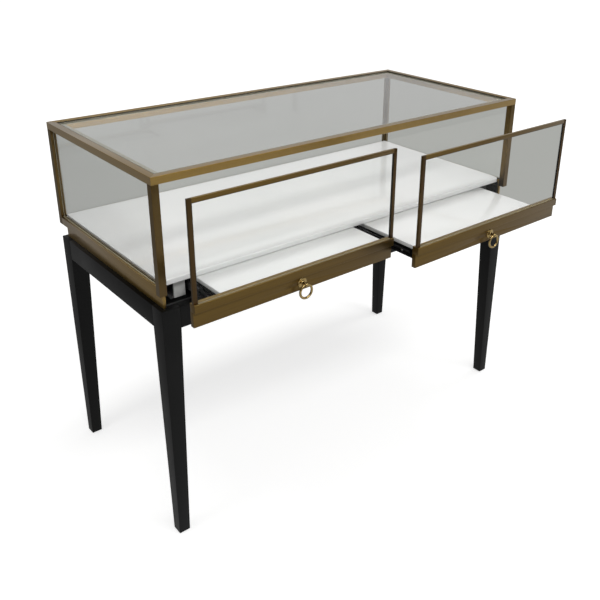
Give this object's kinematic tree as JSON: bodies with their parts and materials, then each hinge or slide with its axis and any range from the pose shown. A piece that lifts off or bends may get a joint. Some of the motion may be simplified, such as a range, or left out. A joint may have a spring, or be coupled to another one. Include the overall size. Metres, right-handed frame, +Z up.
{
  "type": "jewelry display counter",
  "caption": "Glass-topped jewelry display counter: a slim metal-framed glass case with glass-fronted pull-out tray drawers on a black table base with tapered legs.",
  "frame": {"origin": "on the floor, at the middle of the whole footprint in the rest pose: the case and its two drawers drawn out 112 mm and 196 mm, with their pulls", "axes": "+Z up, +X along the counter's width to the right as the person at the drawers sees it, -Y out of the drawer fronts, which is the way the drawers pull out"},
  "size_m": [1.2, 0.7586, 0.95],
  "materials": {
    "base_black": "satin black lacquer",
    "glide_rubber": "matt",
    "zinc_steel": "bright zinc plate",
    "inner_black": "matt black paint",
    "box_brass": "brushed, brown bronze tone",
    "frame_brass": "fine brushed, antique brass tone",
    "spacer_aluminium": "mill finish",
    "cap_grey": "matt light grey",
    "slide_steel": "black electrocoat",
    "case_glass": "clear float glass with polished edges",
    "deck_white": "gloss white",
    "pull_gold": "polished gold tone"
  },
  "bodies": {
    "counter": {"leg_front_left": "base_black", "leg_front_right": "base_black", "leg_rear_left": "base_black", "leg_rear_right": "base_black", "glides": "glide_rubber", "apron_front": "base_black", "apron_rear": "base_black", "side_aprons": "base_black", "corner_plates": "zinc_steel", "leg_bolts": "zinc_steel", "box_floor": "inner_black", "box_side_left": "box_brass", "box_side_right": "box_brass", "box_back": "box_brass", "centre_divider": "inner_black", "spacer_bars": "spacer_aluminium", "spacer_caps": "cap_grey", "slide_outer_rails": "slide_steel", "slide_screws": "zinc_steel", "post_front_left": "frame_brass", "post_front_right": "frame_brass", "post_rear_left": "frame_brass", "post_rear_right": "frame_brass", "top_rail_front": "frame_brass", "top_rail_rear": "frame_brass", "top_rail_left": "frame_brass", "top_rail_right": "frame_brass", "sill_left": "frame_brass", "sill_right": "frame_brass", "sill_rear": "frame_brass", "glass_top": "case_glass", "glass_left": "case_glass", "glass_right": "case_glass", "glass_rear": "case_glass", "deck": "deck_white", "deck_cleats": "inner_black"},
    "slide_mid_left": {"slide_mid_left": "slide_steel"},
    "slide_mid_right": {"slide_mid_right": "slide_steel"},
    "drawer_left": {"drawer_left_rail": "frame_brass", "drawer_left_band": "box_brass", "drawer_left_stiles": "frame_brass", "drawer_left_top_bar": "frame_brass", "drawer_left_glass": "case_glass", "drawer_left_board": "deck_white", "drawer_left_frame": "inner_black", "drawer_left_slide_rails": "slide_steel", "drawer_left_screws": "zinc_steel", "pull_left_mount": "pull_gold"},
    "drawer_right": {"drawer_right_rail": "frame_brass", "drawer_right_band": "box_brass", "drawer_right_stiles": "frame_brass", "drawer_right_top_bar": "frame_brass", "drawer_right_glass": "case_glass", "drawer_right_board": "deck_white", "drawer_right_frame": "inner_black", "drawer_right_slide_rails": "slide_steel", "drawer_right_screws": "zinc_steel", "pull_right_mount": "pull_gold"},
    "ring_left": {"pull_left_ring": "pull_gold"},
    "ring_right": {"pull_right_ring": "pull_gold"}
  },
  "joints": [
    {"name": "drawer_left_slide", "type": "slide", "parent": "counter", "child": "drawer_left", "axis": [0, -1, 0], "range_m": [-0.112, 0.238]},
    {"name": "slide_mid_left_slide", "type": "slide", "parent": "counter", "child": "slide_mid_left", "axis": [0, -1, 0], "range_m": [-0.056, 0.119]},
    {"name": "drawer_right_slide", "type": "slide", "parent": "counter", "child": "drawer_right", "axis": [0, -1, 0], "range_m": [-0.196, 0.154]},
    {"name": "slide_mid_right_slide", "type": "slide", "parent": "counter", "child": "slide_mid_right", "axis": [0, -1, 0], "range_m": [-0.098, 0.077]},
    {"name": "ring_left_swing", "type": "hinge", "parent": "drawer_left", "child": "ring_left", "pos_m": [-0.29025, -0.28967, 0.65675], "axis": [-1, 0, 0], "range_deg": [-8, 180]},
    {"name": "ring_right_swing", "type": "hinge", "parent": "drawer_right", "child": "ring_right", "pos_m": [0.29025, -0.37367, 0.65675], "axis": [-1, 0, 0], "range_deg": [-8, 180]}
  ],
  "couplings": [
    {"joint": "slide_mid_left_slide", "follows": "drawer_left_slide", "ratio": 0.5},
    {"joint": "slide_mid_right_slide", "follows": "drawer_right_slide", "ratio": 0.5}
  ]
}
